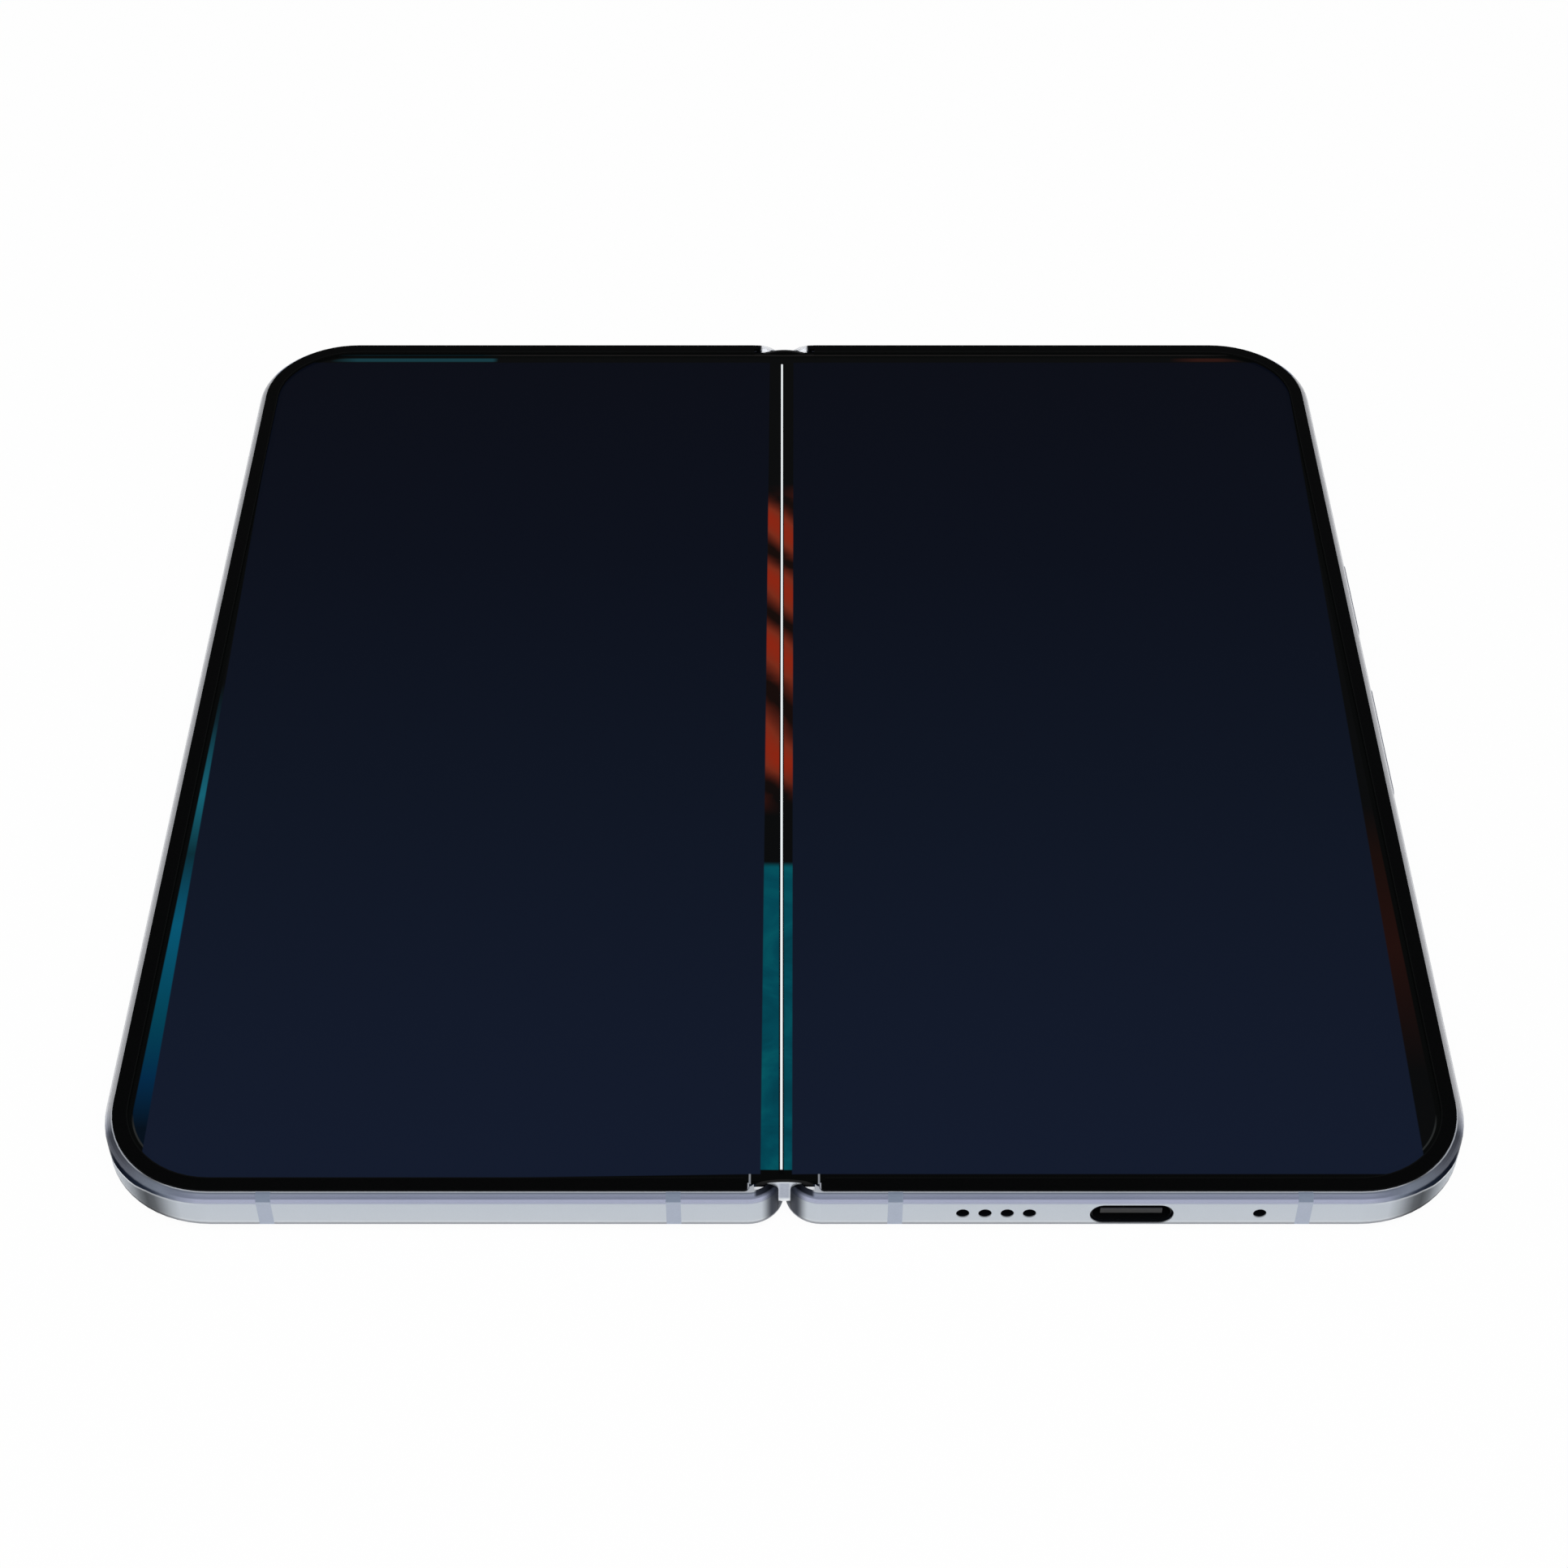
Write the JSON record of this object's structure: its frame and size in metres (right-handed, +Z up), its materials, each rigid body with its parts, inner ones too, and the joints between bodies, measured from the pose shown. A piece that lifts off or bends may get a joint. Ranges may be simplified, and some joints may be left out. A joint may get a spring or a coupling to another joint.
{
  "type": "foldable smartphone",
  "caption": "Book-style foldable phone with a geared two-shaft hinge, folding inner display, cover screen, rear camera island and sprung side keys.",
  "frame": {"origin": "under the middle of the fold, at the level that the open phone rests on", "axes": "+X to the side with the keys, +Y away from the USB-C edge along the fold, +Z up out of the open screen"},
  "size_m": [0.1506, 0.1552, 0.0063],
  "materials": {
    "frame_metal": "polished, satin edge bevel",
    "antenna_plastic": "matte",
    "bezel_plastic": "matte black",
    "display": "soft polymer film over the panel, low gloss",
    "black_glass": "gloss black",
    "back_glass": "satin grey",
    "panel": "gloss",
    "module_black": "matte",
    "battery": "dark coated aluminium pouch foil",
    "board": "satin",
    "steel": "machined",
    "hinge_metal": "polished",
    "brass": "machined",
    "flash": "diffusing"
  },
  "bodies": {
    "left_half": {"left_frame": "frame_metal", "left_antenna_breaks": "antenna_plastic", "left_bezel": "bezel_plastic", "left_display": "display", "cover_screen_glass": "black_glass", "cover_screen_panel": "panel", "cover_camera": "module_black", "earpiece": "module_black", "left_battery": "battery", "left_board": "board", "vibration_motor": "steel", "left_magnets": "steel", "left_wing_near": "steel", "left_wing_far": "steel", "left_wing_screws": "steel", "left_shaft": "steel", "left_gear": "brass"},
    "hinge_spine": {"hinge_cover": "hinge_metal", "hinge_base": "steel", "hinge_cap_near": "hinge_metal", "hinge_cap_far": "hinge_metal", "hinge_centre_plate": "steel", "hinge_screws": "steel", "disc_springs": "steel", "fold_display": "display"},
    "right_half": {"right_frame": "frame_metal", "right_antenna_breaks": "antenna_plastic", "right_bezel": "bezel_plastic", "right_display": "display", "rear_cover": "back_glass", "camera_island": "frame_metal", "camera_glass": "black_glass", "camera_main": "module_black", "camera_wide": "module_black", "camera_tele": "module_black", "flash": "flash", "right_battery": "battery", "main_board": "board", "shield_cans": "steel", "port_board": "board", "usb_c_shell": "steel", "usb_c_tongue": "module_black", "loudspeaker": "module_black", "microphones": "steel", "key_switches": "brass", "right_magnets": "steel", "right_wing_near": "steel", "right_wing_far": "steel", "right_wing_screws": "steel", "right_shaft": "steel", "right_gear": "brass"},
    "left_idler": {"left_idler_gear": "brass"},
    "right_idler": {"right_idler_gear": "brass"},
    "left_plate": {"left_support_plate": "steel"},
    "right_plate": {"right_support_plate": "steel"},
    "power_button": {"power_key": "frame_metal"},
    "volume_button": {"volume_rocker": "frame_metal"}
  },
  "joints": [
    {"name": "left_fold", "type": "hinge", "parent": "left_half", "child": "hinge_spine", "pos_m": [-0.0022, 0, 0.00425], "axis": [0, -1, 0], "range_deg": [0, 90], "deforming": ["fold_display"]},
    {"name": "right_fold", "type": "hinge", "parent": "hinge_spine", "child": "right_half", "pos_m": [0.0022, 0, 0.00425], "axis": [0, -1, 0], "range_deg": [0, 90]},
    {"name": "left_idler_turn", "type": "hinge", "parent": "hinge_spine", "child": "left_idler", "pos_m": [-0.00073, 0, 0.00425], "axis": [0, -1, 0], "range_deg": [0, 90]},
    {"name": "right_idler_turn", "type": "hinge", "parent": "hinge_spine", "child": "right_idler", "pos_m": [0.00073, 0, 0.00425], "axis": [0, 1, 0], "range_deg": [0, 90]},
    {"name": "left_plate_tilt", "type": "hinge", "parent": "left_half", "child": "left_plate", "pos_m": [-0.0086, 0, 0.00513], "axis": [0, 1, 0], "range_deg": [0, 22]},
    {"name": "right_plate_tilt", "type": "hinge", "parent": "right_half", "child": "right_plate", "pos_m": [0.0086, 0, 0.00513], "axis": [0, -1, 0], "range_deg": [0, 22]},
    {"name": "power_press", "type": "slide", "parent": "right_half", "child": "power_button", "axis": [-1, 0, 0], "range_m": [0, 0.0003], "stiffness_N_per_m": 4000},
    {"name": "volume_rock", "type": "hinge", "parent": "right_half", "child": "volume_button", "pos_m": [0.07305, -0.00465, 0.00325], "axis": [0, 0, 1], "range_deg": [-1.4, 1.4], "stiffness_Nm_per_rad": 0.7}
  ],
  "couplings": [
    {"joint": "right_fold", "follows": "left_fold", "ratio": 1},
    {"joint": "left_idler_turn", "follows": "left_fold", "ratio": 1},
    {"joint": "right_idler_turn", "follows": "left_fold", "ratio": 1},
    {"joint": "left_plate_tilt", "follows": "left_fold", "ratio": 0.24444},
    {"joint": "right_plate_tilt", "follows": "left_fold", "ratio": 0.24444}
  ]
}
